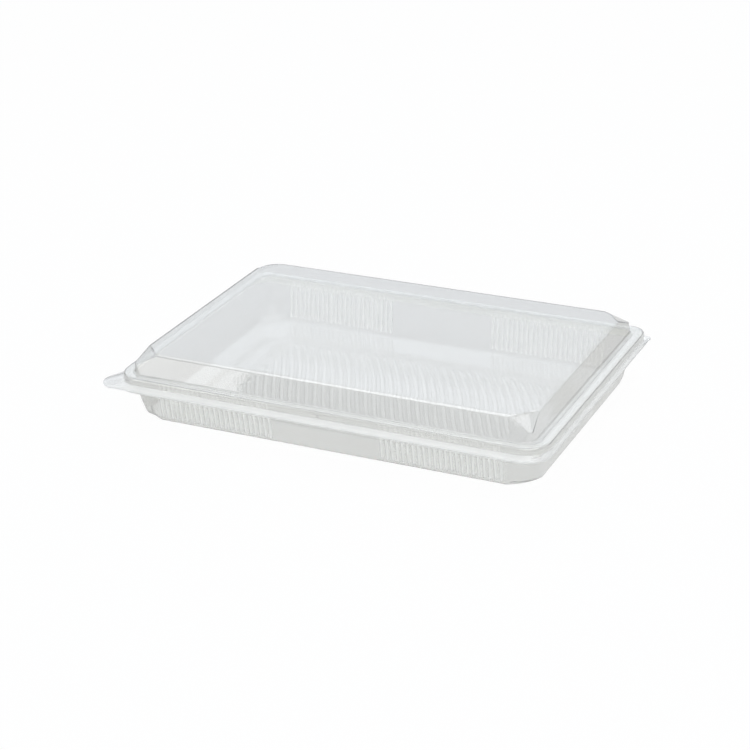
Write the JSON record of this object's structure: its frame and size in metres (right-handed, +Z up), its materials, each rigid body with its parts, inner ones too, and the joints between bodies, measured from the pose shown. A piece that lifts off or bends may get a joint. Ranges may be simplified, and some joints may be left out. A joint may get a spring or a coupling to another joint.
{
  "type": "plastic pastry container",
  "caption": "Shallow clear plastic tray with fluted long walls and a rippled floor, closed by a low bevelled lid hinged along its back.",
  "frame": {"origin": "centre of the rippled panel that the tray rests on, in its resting plane", "axes": "+X along the long side, to the right seen from the front; +Y to the hinge; +Z up"},
  "size_m": [0.2492, 0.1656, 0.038],
  "materials": {
    "clear_tray": "clear formed sheet, glossy",
    "clear_lid": "clear formed sheet, glossy",
    "clear_hinge": "clear formed sheet, glossy, creased"
  },
  "bodies": {
    "tray": {"base": "clear_tray", "hinge_web": "clear_hinge"},
    "lid": {"lid": "clear_lid"}
  },
  "joints": [
    {"name": "lid_hinge", "type": "hinge", "parent": "tray", "child": "lid", "pos_m": [0, 0.0823, 0.02025], "axis": [-1, 0, 0], "range_deg": [0, 180], "deforming": ["hinge_web"]}
  ]
}
